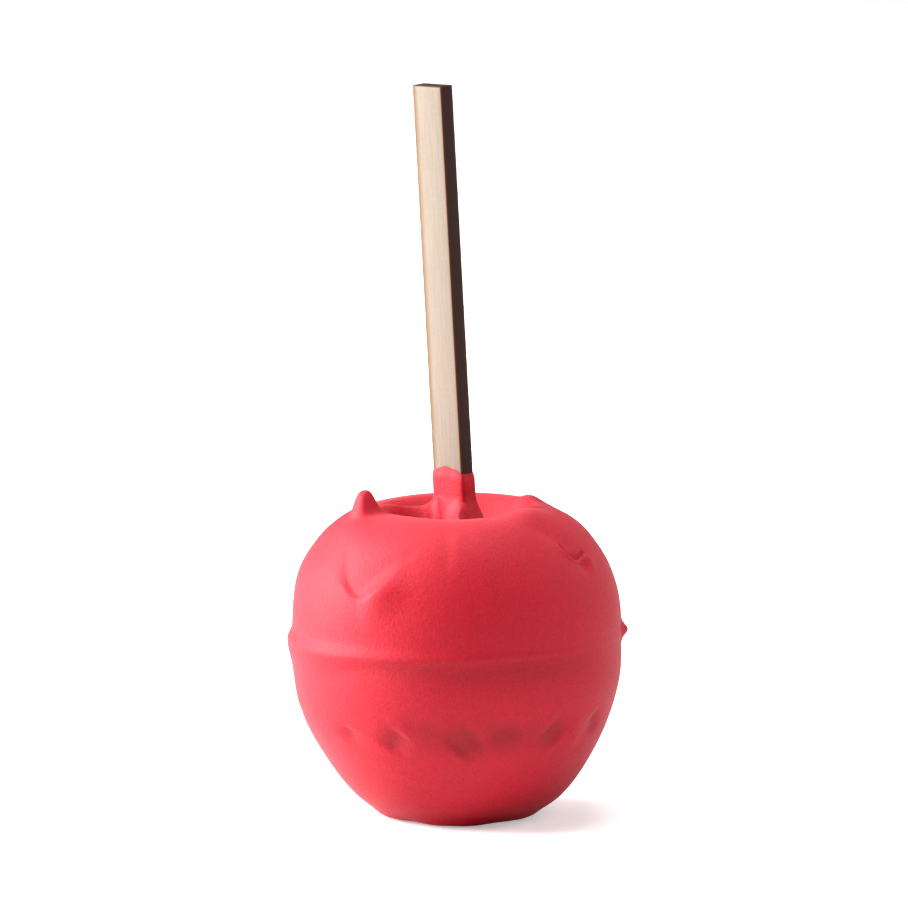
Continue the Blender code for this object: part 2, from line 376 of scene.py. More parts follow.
# %% Shape the ring
RING_HEIGHT = 0.0433
RING_TILT = 0.0008
RING_PROUD = 0.0012
RING_REACH_ABOVE = 0.0022
RING_REACH_BELOW = 0.0014
RING_EXTRA_LEFT = 0.0029
HAIRLINE_PROUD = 0.00022
HAIRLINE_REACH_ABOVE = 0.0012
HAIRLINE_REACH_BELOW = 0.0004


def ring_push(points):
    turn = np.radians(azimuths(points))
    above = points[:, 2] - RING_HEIGHT - RING_TILT * np.sin(turn)
    bold = smooth_step(0.42 - 0.60 * np.sin(turn + math.radians(5)))
    sideways = smooth_step(-np.sin(turn) * 2 - 1)
    lower = RING_REACH_BELOW + RING_EXTRA_LEFT * sideways
    soft = bell(above, np.where(above > 0, RING_REACH_ABOVE, lower))
    hairline = bell(above, np.where(above > 0, HAIRLINE_REACH_ABOVE, HAIRLINE_REACH_BELOW))
    faint = 1 - 0.7 * smooth_step(np.sin(turn) * 2 - 0.8)
    return RING_PROUD * bold * soft + HAIRLINE_PROUD * faint * (1 - bold) * hairline


print("the ring stands", round(float(ring_push(turned).max()) * 1000, 2), "mm proud")

# %% [markdown]
# ## Dents round the lower half
#
# The apple's own ribs end in a row of dents below the belly. Each is a short slanting stroke: its line on
# the apple, its reach and its depth. The red is darker there, and in a few bands under the ring and along
# the row of dents: painted shade, where the surface turns from the light. How deep the painted shade is at
# each point becomes a level that the finish reads later. A band is an azimuth, how far it goes to each side
# in degrees, a height, its reach up and down, and its level.

# %% Shape the lower dents
LOWER_DENTS = [
    ([(-45.6, 0.0216), (-44.6, 0.0236), (-43.8, 0.0256)], 0.0030, -0.00065),
    ([(-27.4, 0.0204), (-24.2, 0.0230), (-20.6, 0.0257)], 0.0031, -0.00065),
    ([(-20.0, 0.0264), (-15.2, 0.0274), (-9.8, 0.0268), (-6.4, 0.0250)], 0.0020, -0.00022),
    ([(-1.0, 0.0204), (3.6, 0.0229), (9.0, 0.0252)], 0.0038, -0.00080),
    ([(12.0, 0.0256), (18.5, 0.0250), (25.0, 0.0266)], 0.0029, -0.00048),
    ([(35.8, 0.0266), (39.3, 0.0245), (42.8, 0.0224)], 0.0034, -0.00062),
    ([(50.0, 0.0285), (51.0, 0.0240), (52.0, 0.0200)], 0.0024, 0.00030),
    ([(59.2, 0.0277), (62.0, 0.0250), (62.6, 0.0222)], 0.0026, -0.00060),
    ([(93.0, 0.0225), (98.0, 0.0250), (103.0, 0.0262)], 0.0033, -0.00070),
    ([(126.0, 0.0262), (129.0, 0.0240), (131.0, 0.0220)], 0.0030, -0.00060),
    ([(158.0, 0.0225), (163.0, 0.0248), (169.0, 0.0256)], 0.0036, -0.00080),
    ([(193.0, 0.0252), (197.0, 0.0236), (203.0, 0.0230)], 0.0031, -0.00060),
    ([(227.0, 0.0228), (231.0, 0.0250), (236.0, 0.0262)], 0.0033, -0.00070),
    ([(269.0, 0.0250), (273.0, 0.0236), (276.0, 0.0226)], 0.0028, -0.00050),
]
DENT_FADE = 0.3
# Painted shade: a dent this deep gets the full darker red.
FULL_SHADE_DEPTH = 0.00075
BAND_STEEPNESS = 1.4
SHADE_BANDS = [
    (12, 62, 0.0402, 0.0032, 0.50),
    (14, 48, 0.0240, 0.0040, 0.50),
    (120, 60, 0.0405, 0.0032, 0.35),
    (205, 55, 0.0238, 0.0040, 0.35),
]


def dents_push(points):
    push = np.zeros(len(points))
    for marks, reach, depth in LOWER_DENTS:
        push += stroke(points, line_on_apple(marks), reach, depth, fade=DENT_FADE)
    return push


# Bands of painted shade under the ring and along the row of dents.
def shade_bands(points):
    level = np.zeros(len(points))
    for azimuth, wide, height, reach, band_shade in SHADE_BANDS:
        round_it = smooth_step(BAND_STEEPNESS * (1 - np.abs(turn_from(points, azimuth)) / wide))
        level += band_shade * round_it * bell(points[:, 2] - height, reach)
    return level


dents = dents_push(turned)
# The level of painted shade, from the dents' depth and the bands.
painted_shade = np.clip(-dents / FULL_SHADE_DEPTH + shade_bands(turned), 0, 1)
print("made", len(LOWER_DENTS), "dents; the coating pooled on", int((painted_shade > 0.5).sum()), "points")

# %% [markdown]
# ## The leaf-shaped scoop and its ridge
#
# At the front left, the coating slid down in a leaf-shaped patch and stopped in a point. Its left edge is
# a faint line that ends in a crisp step, and its right edge is a soft rounded ridge. The scoop is what
# lies between the two lines: inside both of them, deepest at the point and fading upwards.

# %% Shape the scoop
SCOOP_DEPTH = 0.00085
SCOOP_TOP = 0.0700
SCOOP_FADE = 0.011
SLOPE_AT_FAINT_LINE = 0.0046
SLOPE_AT_STEP = 0.0016
SLOPE_AT_RIDGE = 0.0040
SCOOP_RIDGE = 0.00125
RIDGE_REACH_INSIDE = 0.0029
RIDGE_REACH_OUTSIDE = 0.0046
FAINT_LINE = 0.00006
FAINT_REACH = 0.0010
LOOK_FURTHER = 0.012


def scoop_push(points):
    from_edge, edge_side, along_edge = measure_line(points, leaf_edge, margin=LOOK_FURTHER)
    from_ridge, ridge_side, along_ridge = measure_line(points, leaf_ridge, margin=LOOK_FURTHER)
    crisp = smooth_step((along_edge - 0.50) / 0.16)
    slope = SLOPE_AT_FAINT_LINE - (SLOPE_AT_FAINT_LINE - SLOPE_AT_STEP) * crisp
    left = smooth_step(from_edge * edge_side / slope + 0.5)
    inner = from_ridge * ridge_side
    right = smooth_step(inner / SLOPE_AT_RIDGE)
    deep = smooth_step((SCOOP_TOP - points[:, 2]) / SCOOP_FADE)
    push = -SCOOP_DEPTH * left * right * deep
    ends = smooth_step(along_ridge / 0.45) * smooth_step((1 - along_ridge) / 0.5)
    ridge_reach = np.where(inner > 0, RIDGE_REACH_INSIDE, RIDGE_REACH_OUTSIDE)
    push += SCOOP_RIDGE * bell(inner, ridge_reach) * ends * (from_ridge < 0.02)
    push += FAINT_LINE * bell(from_edge, FAINT_REACH) * smooth_step(along_edge / 0.2) * (1 - crisp)
    return push


print("the scoop is", SCOOP_DEPTH * 1000, "mm deep")

# %% [markdown]
# ## Smaller folds
#
# On the right shoulder a smile-shaped fold stands over a dimple, with a soft hollow above it. A shallow
# groove with a low ridge beside it runs from the crest down the front, and a nub of coating points out of
# the right side. A dab is an azimuth, a height, its reach and its push.

# %% Shape the folds
FRONT_GROOVE = [(-5.2, 0.0742), (-4.4, 0.0725), (-3.6, 0.0700), (-2.9, 0.0663), (-2.2, 0.0610)]
FRONT_RIDGE = [(-0.8, 0.0742), (-0.5, 0.0720), (-0.4, 0.0690), (-0.3, 0.0650), (-0.2, 0.0600)]
SMALL_DABS = [
    (60.0, 0.0630, 0.0019, -0.00095),
    (56.2, 0.0640, 0.0017, -0.00045),
    (55.5, 0.0677, 0.0026, -0.00060),
    (49.5, 0.0700, 0.0030, -0.00045),
    (45.0, 0.0716, 0.0028, -0.00050),
    (65.5, 0.0632, 0.0014, 0.00035),
    (89.0, 0.0447, 0.0017, 0.0016),
]
FOLD_DEPTH = 0.00070
FOLD_REACH_LEFT = 0.0012
FOLD_REACH_RIGHT = 0.0003
FOLD_LIP = 0.00035
FOLD_LIP_AWAY = 0.0008
FOLD_LIP_REACH = 0.0006


def folds_push(points):
    push = sum(dab(points, *small) for small in SMALL_DABS)
    distance, side, reached = measure_line(points, right_fold)
    ends = smooth_step(reached / 0.15) * smooth_step((1 - reached) / 0.15)
    push -= FOLD_DEPTH * ends * bell(distance, np.where(side > 0, FOLD_REACH_LEFT, FOLD_REACH_RIGHT))
    push += FOLD_LIP * ends * bell(distance - FOLD_LIP_AWAY, FOLD_LIP_REACH) * (side < 0)
    push += stroke(points, line_on_apple(FRONT_GROOVE), 0.0021, -0.00017, fade=0.3)
    push += stroke(points, line_on_apple(FRONT_RIDGE), 0.0018, 0.00010, fade=0.3)
    return push


print("made", len(SMALL_DABS), "dabs and 3 folds")

# %% [markdown]
# ## The foot
#
# While the coating set, it crept out under the apple in a few flat lobes, the biggest at the front. Each
# lobe is an azimuth, how far it goes to each side in degrees, and how far it spreads.

# %% Shape the foot
FOOT_REACH = 0.0016
LOBE_STEEPNESS = 1.2
FOOT_LOBES = [
    (-4, 40, 0.0026),
    (22, 30, 0.0010),
    (64, 36, 0.0016),
    (122, 40, 0.0020),
    (180, 38, 0.0014),
    (236, 40, 0.0020),
    (292, 36, 0.0014),
]


def foot_push(points):
    low = bell(points[:, 2], FOOT_REACH) * (points[:, 2] < 0.02)
    spread = np.zeros(len(points))
    for azimuth, wide, out in FOOT_LOBES:
        spread += out * smooth_step(LOBE_STEEPNESS * (1 - np.abs(turn_from(points, azimuth)) / wide))
    return spread * low


print("the foot spreads up to", round(float(foot_push(turned).max()) * 1000, 2), "mm")

# %% [markdown]
# ## Pushing the skin
#
# All the pushes move a point straight away from a core inside the apple, which keeps the squares even.
# The foot stays flat, so its points move level. The horn and the bumps of the crest rise instead,
# straight up. The horn is an upright bell with steep sides and a squarish foot.

# %% Push it out and raise the horn
CREST_BUMPS = [
    (122, 0.0743, 0.0030, 0.0013),
    (51, 0.0743, 0.0060, 0.0013),
    (-5, 0.0743, 0.0060, -0.0003),
    (-125, 0.0743, 0.0100, -0.0006),
    (105, 0.0722, 0.0100, -0.0010),
    (88, 0.0745, 0.0070, 0.0003),
    (-98, 0.0722, 0.0075, -0.0009),
    (-60, 0.0716, 0.0052, 0.0008),
]
LEVEL_BELOW = 0.008
HORN_RISE = 0.0055
HORN_STEEP = 3.2
HORN_REACH = {"right": 0.0033, "left": 0.0027, "front": 0.0032, "back": 0.0032}
HORN_SQUARENESS = 1.7


def horn_rise(points):
    offset = points[:, :2] - horn_place[:2]
    wide = np.abs(offset[:, 0]) / np.where(offset[:, 0] > 0, HORN_REACH["right"], HORN_REACH["left"])
    deep = np.abs(offset[:, 1]) / np.where(offset[:, 1] > 0, HORN_REACH["back"], HORN_REACH["front"])
    distance = (wide**HORN_SQUARENESS + deep**HORN_SQUARENESS) ** (1 / HORN_SQUARENESS)
    return HORN_RISE * np.exp(-(distance**HORN_STEEP)) * (points[:, 2] > BELLY_HEIGHT)


radius = np.hypot(turned[:, 0], turned[:, 1])
outside = ((radius > CREST_RADIUS - 1e-6) | (turned[:, 2] < VALLEY_HEIGHT)) & (radius > COLLAR_RADIUS * 1.1)
push = body_push(turned) + ring_push(turned) + dents + scoop_push(turned) + folds_push(turned)
push += foot_push(turned)
away = turned - core
away[:, 2] *= smooth_step(turned[:, 2] / LEVEL_BELOW)
away /= np.linalg.norm(away, axis=1)[:, None] + 1e-9
shaped = turned + away * (push * outside)[:, None]
shaped[:, 2] += horn_rise(turned) + sum(dab(turned, *bump) for bump in CREST_BUMPS)
print("the pushes run from", *(round(float(end) * 1000, 2) for end in (push.min(), push.max())), "mm")

# %% [markdown]
# ## Webs of coating across the hollow
#
# Two webs of coating span the hollow round the stick. One runs from the collar's left corner to the horn
# and one from its near corner over the front crest, and between them they leave a deep pocket. Each web
# is a line across the hollow, outwards from the collar, and lifts what lies under it to its own height. A
# place on it is X, Y and the height, and then how far the web reaches on its left and on its right, all
# in millimetres.

# %% Raise the webs
WEB_END = 0.0015
LEFT_WEB = [
    (-4.6, 1.6, 76.6, 4.4, 1.8),
    (-5.9, 1.5, 75.3, 4.2, 1.9),
    (-7.2, 1.2, 74.5, 4.0, 2.0),
    (-8.6, 1.1, 74.1, 3.8, 2.2),
    (-12.0, 0.2, 74.2, 3.8, 2.3),
    (-15.5, -1.9, 74.9, 3.6, 2.4),
    (-20.5, -5.4, 75.2, 3.2, 2.4),
]
FRONT_WEB = [
    (1.4, -4.4, 76.6, 1.8, 2.4),
    (1.2, -5.9, 75.2, 1.7, 2.4),
    (0.9, -7.5, 74.3, 1.6, 2.3),
    (0.6, -10.0, 73.8, 1.4, 2.1),
    (0.4, -14.0, 73.6, 1.7, 2.3),
    (0.3, -19.0, 73.8, 2.8, 2.8),
]


def raise_web(points, shaped, places_mm):
    """Lifts the hollow up to a web's line."""
    line = np.array(smooth_line(np.array(places_mm) / 1000, [6] * (len(places_mm) - 1)))
    best = np.full(len(points), 1.0)
    top = np.zeros(len(points))
    reach = np.full(len(points), 0.001)
    for start, end in zip(line, line[1:]):
        step = (end - start)[:2]
        offset = shaped[:, :2] - start[:2]
        part = np.clip(offset @ step / (step @ step), 0, 1)
        apart = offset - part[:, None] * step
        distance = np.linalg.norm(apart, axis=1)
        closer = distance < best
        best[closer] = distance[closer]
        height, left, right = (start[2:] + part[:, None] * (end - start)[2:]).T
        top[closer] = height[closer]
        on_left = step[0] * apart[:, 1] - step[1] * apart[:, 0] > 0
        reach[closer] = np.where(on_left, left, right)[closer]
    radius = np.hypot(points[:, 0], points[:, 1])
    in_hollow = (radius > COLLAR_RADIUS * 1.02) & (points[:, 2] > VALLEY_HEIGHT - 1e-6)
    fade = smooth_step((CREST_RADIUS + WEB_END - radius) / (2 * WEB_END))
    shaped[:, 2] += np.where(in_hollow, np.maximum(top - shaped[:, 2], 0), 0) * bell(best, reach) * fade


print("the webs pass through", len(LEFT_WEB) + len(FRONT_WEB), "places")

# %% [markdown]
# ## The collar round the stick
#
# The collar is still round. Its section becomes the stick's own rectangle with rounded corners, a
# superellipse whose power says how sharp the corners are, and the coating thins towards its upper edge.
# That edge is a soft wave that stands highest in the middle of the stick's wide sides. Last, the collar
# shifts and leans with the stick, fading out into the hollow.

# %% Shape the collar
THIN_COAT = 0.00016
THICK_COAT = 0.00055
SLOT_GAP = 0.00004
SLOT_POWER = 20.0
EDGE_POWER = 14
FOOT_POWER = 6
EDGE_WAVE = 0.0014
EDGE_RIPPLE = 0.00018
BACK_WAVE_PART = 0.7


def shape_collar(points, shaped):
    radius = np.hypot(points[:, 0], points[:, 1])
    turn = np.arctan2(points[:, 1], points[:, 0]) - math.atan2(across[1], across[0])
    wall_part = smooth_step((radius - SLOT_RADIUS) / (COLLAR_RADIUS - SLOT_RADIUS))
    below = smooth_step((COLLAR_EDGE - points[:, 2]) / 0.0020)
    thick = SLOT_GAP + wall_part * (THIN_COAT + (THICK_COAT - THIN_COAT) * below)
    outer_power = EDGE_POWER - (EDGE_POWER - FOOT_POWER) * below * wall_part
    power = np.where(wall_part < 0.1, SLOT_POWER, outer_power)
    wide = np.abs(np.cos(turn)) / (half_width + thick)
    deep = np.abs(np.sin(turn)) / (half_thickness + thick)
    section = (wide**power + deep**power) ** (-1 / power)
    turned_radius = np.where(radius < SLOT_RADIUS, SLOT_RADIUS, np.minimum(radius, COLLAR_RADIUS))
    near = 1 - smooth_step((radius - COLLAR_RADIUS) / (VALLEY_RADIUS - COLLAR_RADIUS))
    near *= points[:, 2] > slot_bottom - 1e-6
    shaped[:, :2] *= (1 + near * (section / turned_radius - 1))[:, None]
    width_part = np.clip(section * np.cos(turn) / half_width, -1, 1)
    wave = (EDGE_WAVE + EDGE_RIPPLE * np.cos(7 * width_part + 1)) * (1 - width_part**2)
    wave *= np.where(np.sin(turn) < 0, 1, BACK_WAVE_PART)
    climb = smooth_step((points[:, 2] - COLLAR_FOOT) / (COLLAR_EDGE - COLLAR_FOOT))
    shaped[:, 2] += wave * climb * (radius <= COLLAR_RADIUS * 1.01)
    lean = along[:2] / along[2]
    rise = near * (shaped[:, 2] - stick_middle[2])
    shaped[:, :2] += near[:, None] * stick_middle[:2] + rise[:, None] * lean


shape_collar(turned, shaped)
for web in (LEFT_WEB, FRONT_WEB):
    raise_web(turned, shaped, web)
collar_heights = shaped[radius < COLLAR_RADIUS * 1.01, 2]
print("the collar's edge is", round(float(collar_heights.max()) * 1000, 1), "mm up")

# %% [markdown]
# ## The coating as a piece
#
# The moved points go back into the mesh, and the mesh becomes the piece that stands for the coated
# apple's solid. It is one closed skin, with nothing modelled inside. It keeps the level of painted shade
# at each point.

# %% Make the coating piece
def new_piece(name, shape):
    """An object at the origin, with its place in its mesh."""
    mesh = bpy.data.meshes.new(name)
    shape.to_mesh(mesh)
    shape.free()
    mesh.shade_smooth()
    piece = bpy.data.objects.new(name, mesh)
    bpy.context.scene.collection.objects.link(piece)
    return piece


for vert, place in zip(skin.verts, shaped):
    vert.co = place
coating = new_piece("apple_coating", skin)
# Each point keeps its level of painted shade.
coating.data.attributes.new("painted_shade", "FLOAT", "POINT").data.foreach_set("value", painted_shade)
print("the coating has", len(coating.data.polygons), "faces")

# %% [markdown]
# ## The stick
#
# The stick was cut from thin board by a hot tool, which left its two narrow sides and its ends burnt
# dark. It is a cube scaled to the solid's size, with fine bevels along its edges, cut across in many
# places so that the narrow sides can waver a little. It is built in its own directions and then moved
# into place.

# %% Build the stick
EDGE_BEVEL = 0.00018
STICK_CUTS = 149
SHARP_ANGLE = math.radians(40)
WAVER = 0.000018
MEAN_INSET = 0.00004
WAVES = [(1.0, 900, 1.3), (0.6, 2300, 2.1)]

board = bmesh.new()
bmesh.ops.create_cube(board, size=1)
bmesh.ops.scale(board, verts=board.verts, vec=(2 * half_width, 2 * half_thickness, 2 * half_length))
bmesh.ops.bevel(
    board, geom=list(board.edges), offset=EDGE_BEVEL, segments=3, profile=0.5, affect="EDGES", material=-1
)
lengthwise = [edge for edge in board.edges if abs((edge.verts[0].co - edge.verts[1].co).z) > half_length]
bmesh.ops.subdivide_edges(board, edges=lengthwise, cuts=STICK_CUTS)
print("the stick's mesh has", len(board.verts), "points")

# %% Roughen the narrow sides
for vert in board.verts:
    side = math.copysign(1, vert.co.x)
    wave = sum(part * math.sin(vert.co.z * pace + side * shift) for part, pace, shift in WAVES)
    vert.co.x -= side * (MEAN_INSET - WAVER * wave)
bmesh.ops.transform(board, matrix=stick_frame, verts=board.verts)
stick = new_piece("wooden_stick", board)
stick.data.set_sharp_from_angle(angle=SHARP_ANGLE)
print("the narrow sides waver by", round(2 * WAVER * sum(wave[0] for wave in WAVES) * 1000, 3), "mm")

# %% [markdown]
# ## A grain that several finishes share
#
# The coating, the wood and the paper all have a fine uneven tone. One shader group makes it: noise at a
# given scale darkens or lightens a colour by a given amount, and the same noise comes out as a height for
# bump. The group is built once, and each material places it with its own values.

# %% Build the grain group
def add_node(tree, kind, **settings):
    node = tree.nodes.new(kind)
    for name, value in settings.items():
        setattr(node, name, value)
    return node


def set_inputs(node, **values):
    for name, value in values.items():
        node.inputs[name.replace("_", " ")].default_value = value


def math_node(tree, operation, first, second):
    """A maths node; each of the two is a number or the socket it comes from."""
    node = add_node(tree, "ShaderNodeMath", operation=operation)
    for socket, value in zip(node.inputs, (first, second)):
        if isinstance(value, (int, float)):
            socket.default_value = value
        else:
            tree.links.new(value, socket)
    return node.outputs[0]


def mix_colors(tree, factor, first, second):
    """Mixes two colours; each is a value or the socket it comes from."""
    node = add_node(tree, "ShaderNodeMix", data_type="RGBA")
    tree.links.new(factor, node.inputs["Factor"])
    for socket, value in zip((node.inputs[6], node.inputs[7]), (first, second)):
        if isinstance(value, tuple):
            socket.default_value = value
        else:
            tree.links.new(value, socket)
    return node.outputs[2]


def new_group(name, inputs, outputs):
    """A shader group with the named inputs and outputs, each a socket kind and, for inputs, a value."""
    group = bpy.data.node_groups.new(name, "ShaderNodeTree")
    for label, (kind, value) in inputs.items():
        socket = group.interface.new_socket(label, in_out="INPUT", socket_type=kind)
        if value is not None:
            socket.default_value = value
    for label, kind in outputs.items():
        group.interface.new_socket(label, in_out="OUTPUT", socket_type=kind)
    return group, group.nodes.new("NodeGroupInput"), group.nodes.new("NodeGroupOutput")


grain_group, group_in, group_out = new_group(
    "uneven_grain",
    {
        "Vector": ("NodeSocketVector", None),
        "Color": ("NodeSocketColor", (0.5, 0.5, 0.5, 1)),
        "Scale": ("NodeSocketFloat", 1000.0),
        "Detail": ("NodeSocketFloat", 3.0),
        "Amount": ("NodeSocketFloat", 0.1),
    },
    {"Color": "NodeSocketColor", "Height": "NodeSocketFloat"},
)
noise = add_node(grain_group, "ShaderNodeTexNoise")
for name in ("Vector", "Scale", "Detail"):
    grain_group.links.new(group_in.outputs[name], noise.inputs[name])
centred = math_node(grain_group, "SUBTRACT", noise.outputs["Fac"], 0.5)
change = math_node(grain_group, "MULTIPLY", centred, group_in.outputs["Amount"])
tone = math_node(grain_group, "ADD", change, 1.0)
toned = add_node(grain_group, "ShaderNodeVectorMath", operation="SCALE")
grain_group.links.new(group_in.outputs["Color"], toned.inputs[0])
grain_group.links.new(tone, toned.inputs["Scale"])
grain_group.links.new(toned.outputs[0], group_out.inputs["Color"])
grain_group.links.new(noise.outputs["Fac"], group_out.inputs["Height"])
print("grain group:", [socket.name for socket in grain_group.interface.items_tree])


def place_grain(tree, vector, color, scale, amount, detail):
    """Places the grain group in a material; the colour is a value or the socket it comes from."""
    node = add_node(tree, "ShaderNodeGroup", node_tree=grain_group)
    tree.links.new(vector, node.inputs["Vector"])
    if isinstance(color, tuple):
        node.inputs["Color"].default_value = color
    else:
        tree.links.new(color, node.inputs["Color"])
    set_inputs(node, Scale=scale, Amount=amount, Detail=detail)
    return node


# %% [markdown]
# ## The coating's finish
#
# The coating is opaque, with a satin surface: no mirror, only a broad gloss and a little sheen that pale
# the side towards the light. Its red is so deep that green and blue are nearly nothing, and painted shade
# makes it darker in the dents and the bands of the lower half. Three sizes of grain lie over each other:
# drifts in tone over a few centimetres, a mottle of about a millimetre, and a finer grain. The last two
# also make the bump.

# %% Make the coating material
COAT_RED = (0.47, 0.0018, 0.0190, 1)
# The second red is the painted shade in the dents and bands.
SHADED_RED = (0.33, 0.0010, 0.0120, 1)
COAT_ROUGHNESS = 0.65
COAT_SPECULAR = 0.47
COAT_SHEEN = 0.11
COAT_SHEEN_ROUGHNESS = 0.5
COAT_BUMP = {"Strength": 0.7, "Distance": 0.00012}
DRIFT = {"scale": 45, "amount": 0.10, "detail": 2.0}
MOTTLE = {"scale": 900, "amount": 0.20, "detail": 3.0}
FINE_GRAIN = {"scale": 2200, "amount": 0.75, "detail": 2.0}


def new_material(name):
    material = bpy.data.materials.new(name)
    material.use_nodes = True
    return material, material.node_tree, material.node_tree.nodes["Principled BSDF"]


coat_material, tree, shader = new_material("pink_red_coating")
place = add_node(tree, "ShaderNodeTexCoord").outputs["Object"]
# The painted shade level mixes in the darker red.
shade_attribute = add_node(tree, "ShaderNodeAttribute", attribute_name="painted_shade")
red_with_painted_shade = mix_colors(tree, shade_attribute.outputs["Fac"], COAT_RED, SHADED_RED)
drift = place_grain(tree, place, red_with_painted_shade, **DRIFT)
mottle = place_grain(tree, place, drift.outputs["Color"], **MOTTLE)
fine = place_grain(tree, place, mottle.outputs["Color"], **FINE_GRAIN)
tree.links.new(fine.outputs["Color"], shader.inputs["Base Color"])
bump = add_node(tree, "ShaderNodeBump")
set_inputs(bump, **COAT_BUMP)
heights = math_node(tree, "ADD", fine.outputs["Height"], mottle.outputs["Height"])
tree.links.new(heights, bump.inputs["Height"])
tree.links.new(bump.outputs["Normal"], shader.inputs["Normal"])
set_inputs(shader, Roughness=COAT_ROUGHNESS, Specular_IOR_Level=COAT_SPECULAR)
set_inputs(shader, Sheen_Weight=COAT_SHEEN, Sheen_Roughness=COAT_SHEEN_ROUGHNESS)
coating.data.materials.append(coat_material)
print("coating:", len(tree.nodes), "nodes")

# %% [markdown]
# ## The wood's finish
#
# The wide sides are pale wood with a close straight grain. The heat of the cut scorched them amber inside
# their long edges, more on one side than on the other, and burnt the narrow sides and the top end dark
# brown. A Mapping node turns the coordinates into the stick's own directions, so the masks are plain
# distances: how near a point is to a narrow side or to the end. A noise stretched along the stick makes
# the grain, and lets the scorch wander.

# %% Make the wood material
PALE_WOOD = (0.280, 0.230, 0.185, 1)
WOOD_STREAK = (0.255, 0.200, 0.154, 1)
AMBER = (0.20, 0.115, 0.050, 1)
BURNT_EDGE = (0.120, 0.036, 0.020, 1)
CHAR = (0.045, 0.021, 0.015, 1)
WOOD_ROUGHNESS = 0.6
WOOD_SPECULAR = 0.25
WOOD_BUMP = {"Strength": 0.4, "Distance": 0.00005}
WOOD_GRAIN = {"Scale": 2600.0, "Detail": 4.0, "Roughness": 0.6}
WOOD_SPECKS = {"scale": 3200, "amount": 0.34, "detail": 2.0}
ALONG_GRAIN = 0.035
GRAIN_SPAN = (0.35, 0.70)

wood_material, tree, shader = new_material("scorched_wood")
place = add_node(tree, "ShaderNodeTexCoord").outputs["Object"]
to_stick = add_node(tree, "ShaderNodeMapping", vector_type="TEXTURE")
to_stick.inputs["Location"].default_value = stick_frame.translation
to_stick.inputs["Rotation"].default_value = stick_frame.to_euler()
tree.links.new(place, to_stick.inputs["Vector"])
stretch = add_node(tree, "ShaderNodeMapping", vector_type="POINT")
stretch.inputs["Scale"].default_value = (1, 1, ALONG_GRAIN)
tree.links.new(to_stick.outputs[0], stretch.inputs["Vector"])
own = add_node(tree, "ShaderNodeSeparateXYZ")
tree.links.new(to_stick.outputs[0], own.inputs[0])


def ramp(tree, value, start, end):
    """0 at start and 1 at end, smooth between them."""
    node = add_node(tree, "ShaderNodeMapRange", interpolation_type="SMOOTHSTEP")
    set_inputs(node, From_Min=start, From_Max=end)
    tree.links.new(value, node.inputs["Value"])
    return node.outputs["Result"]


grain = add_node(tree, "ShaderNodeTexNoise")
set_inputs(grain, **WOOD_GRAIN)
tree.links.new(stretch.outputs[0], grain.inputs["Vector"])
grain_level = ramp(tree, grain.outputs["Fac"], *GRAIN_SPAN)
wood = mix_colors(tree, grain_level, PALE_WOOD, WOOD_STREAK)
speck = place_grain(tree, place, wood, **WOOD_SPECKS)
print("wood grain made")

# %% Scorch it
AMBER_ONE_SIDED = 0.10
AMBER_WANDER = 0.0006
AMBER_SPAN = (0.0014, -0.0006)
BURN_SPAN = (0.00042, 0.00018)
SIDE_SPAN = (0.00026, 0.00016)
END_SPAN = (0.00035, 0.00010)
CHAR_WANDER = 0.0009
CHAR_SPAN = (half_thickness * 0.90, half_thickness * 0.35)
WANDER = {"scale": 500, "amount": 1.0, "detail": 3.0}

from_side = math_node(tree, "SUBTRACT", half_width, math_node(tree, "ABSOLUTE", own.outputs["X"], 0.0))
wander = place_grain(tree, stretch.outputs[0], (1, 1, 1, 1), **WANDER).outputs["Height"]
to_right = math_node(tree, "MULTIPLY", own.outputs["X"], AMBER_ONE_SIDED)
one_sided = math_node(tree, "ADD", from_side, to_right)
scorch = math_node(tree, "SUBTRACT", one_sided, math_node(tree, "MULTIPLY", wander, AMBER_WANDER))
wood = mix_colors(tree, ramp(tree, scorch, *AMBER_SPAN), speck.outputs["Color"], AMBER)
wood = mix_colors(tree, ramp(tree, from_side, *BURN_SPAN), wood, BURNT_EDGE)
rim = math_node(tree, "ABSOLUTE", own.outputs["Y"], 0.0)
char_rim = math_node(tree, "SUBTRACT", rim, math_node(tree, "MULTIPLY", wander, CHAR_WANDER))
side_color = mix_colors(tree, ramp(tree, char_rim, *CHAR_SPAN), BURNT_EDGE, CHAR)
wood = mix_colors(tree, ramp(tree, from_side, *SIDE_SPAN), wood, side_color)
from_top = math_node(tree, "SUBTRACT", half_length, own.outputs["Z"])
wood = mix_colors(tree, ramp(tree, from_top, *END_SPAN), wood, CHAR)
tree.links.new(wood, shader.inputs["Base Color"])
bump = add_node(tree, "ShaderNodeBump")
set_inputs(bump, **WOOD_BUMP)
tree.links.new(grain.outputs["Fac"], bump.inputs["Height"])
tree.links.new(bump.outputs["Normal"], shader.inputs["Normal"])
set_inputs(shader, Roughness=WOOD_ROUGHNESS, Specular_IOR_Level=WOOD_SPECULAR)
stick.data.materials.append(wood_material)
print("wood:", len(tree.nodes), "nodes")

# %% [markdown]
# ## The studio
#
# The floor is a plain pale sheet of paper, with a lift that only the camera sees: the paper looks white
# without throwing more light up at the apple. The key softbox stands on the left, with a second one above
# it and one straight overhead. Two weak ones and a low card fill the right, one lifts the back, and a
# broad one behind lights the paper itself, so that it is white up to its far edge. A light is an azimuth
# and an elevation in degrees, a distance, a size and a power in watts.

# %% Lay the floor
PAPER = (0.82, 0.82, 0.82, 1)
PAPER_LIFT = (0.37, 0.37, 0.37, 1)
PAPER_ROUGHNESS = 0.9
PAPER_GRAIN = {"scale": 400, "amount": 0.02, "detail": 3.0}
PAPER_REACH = 6

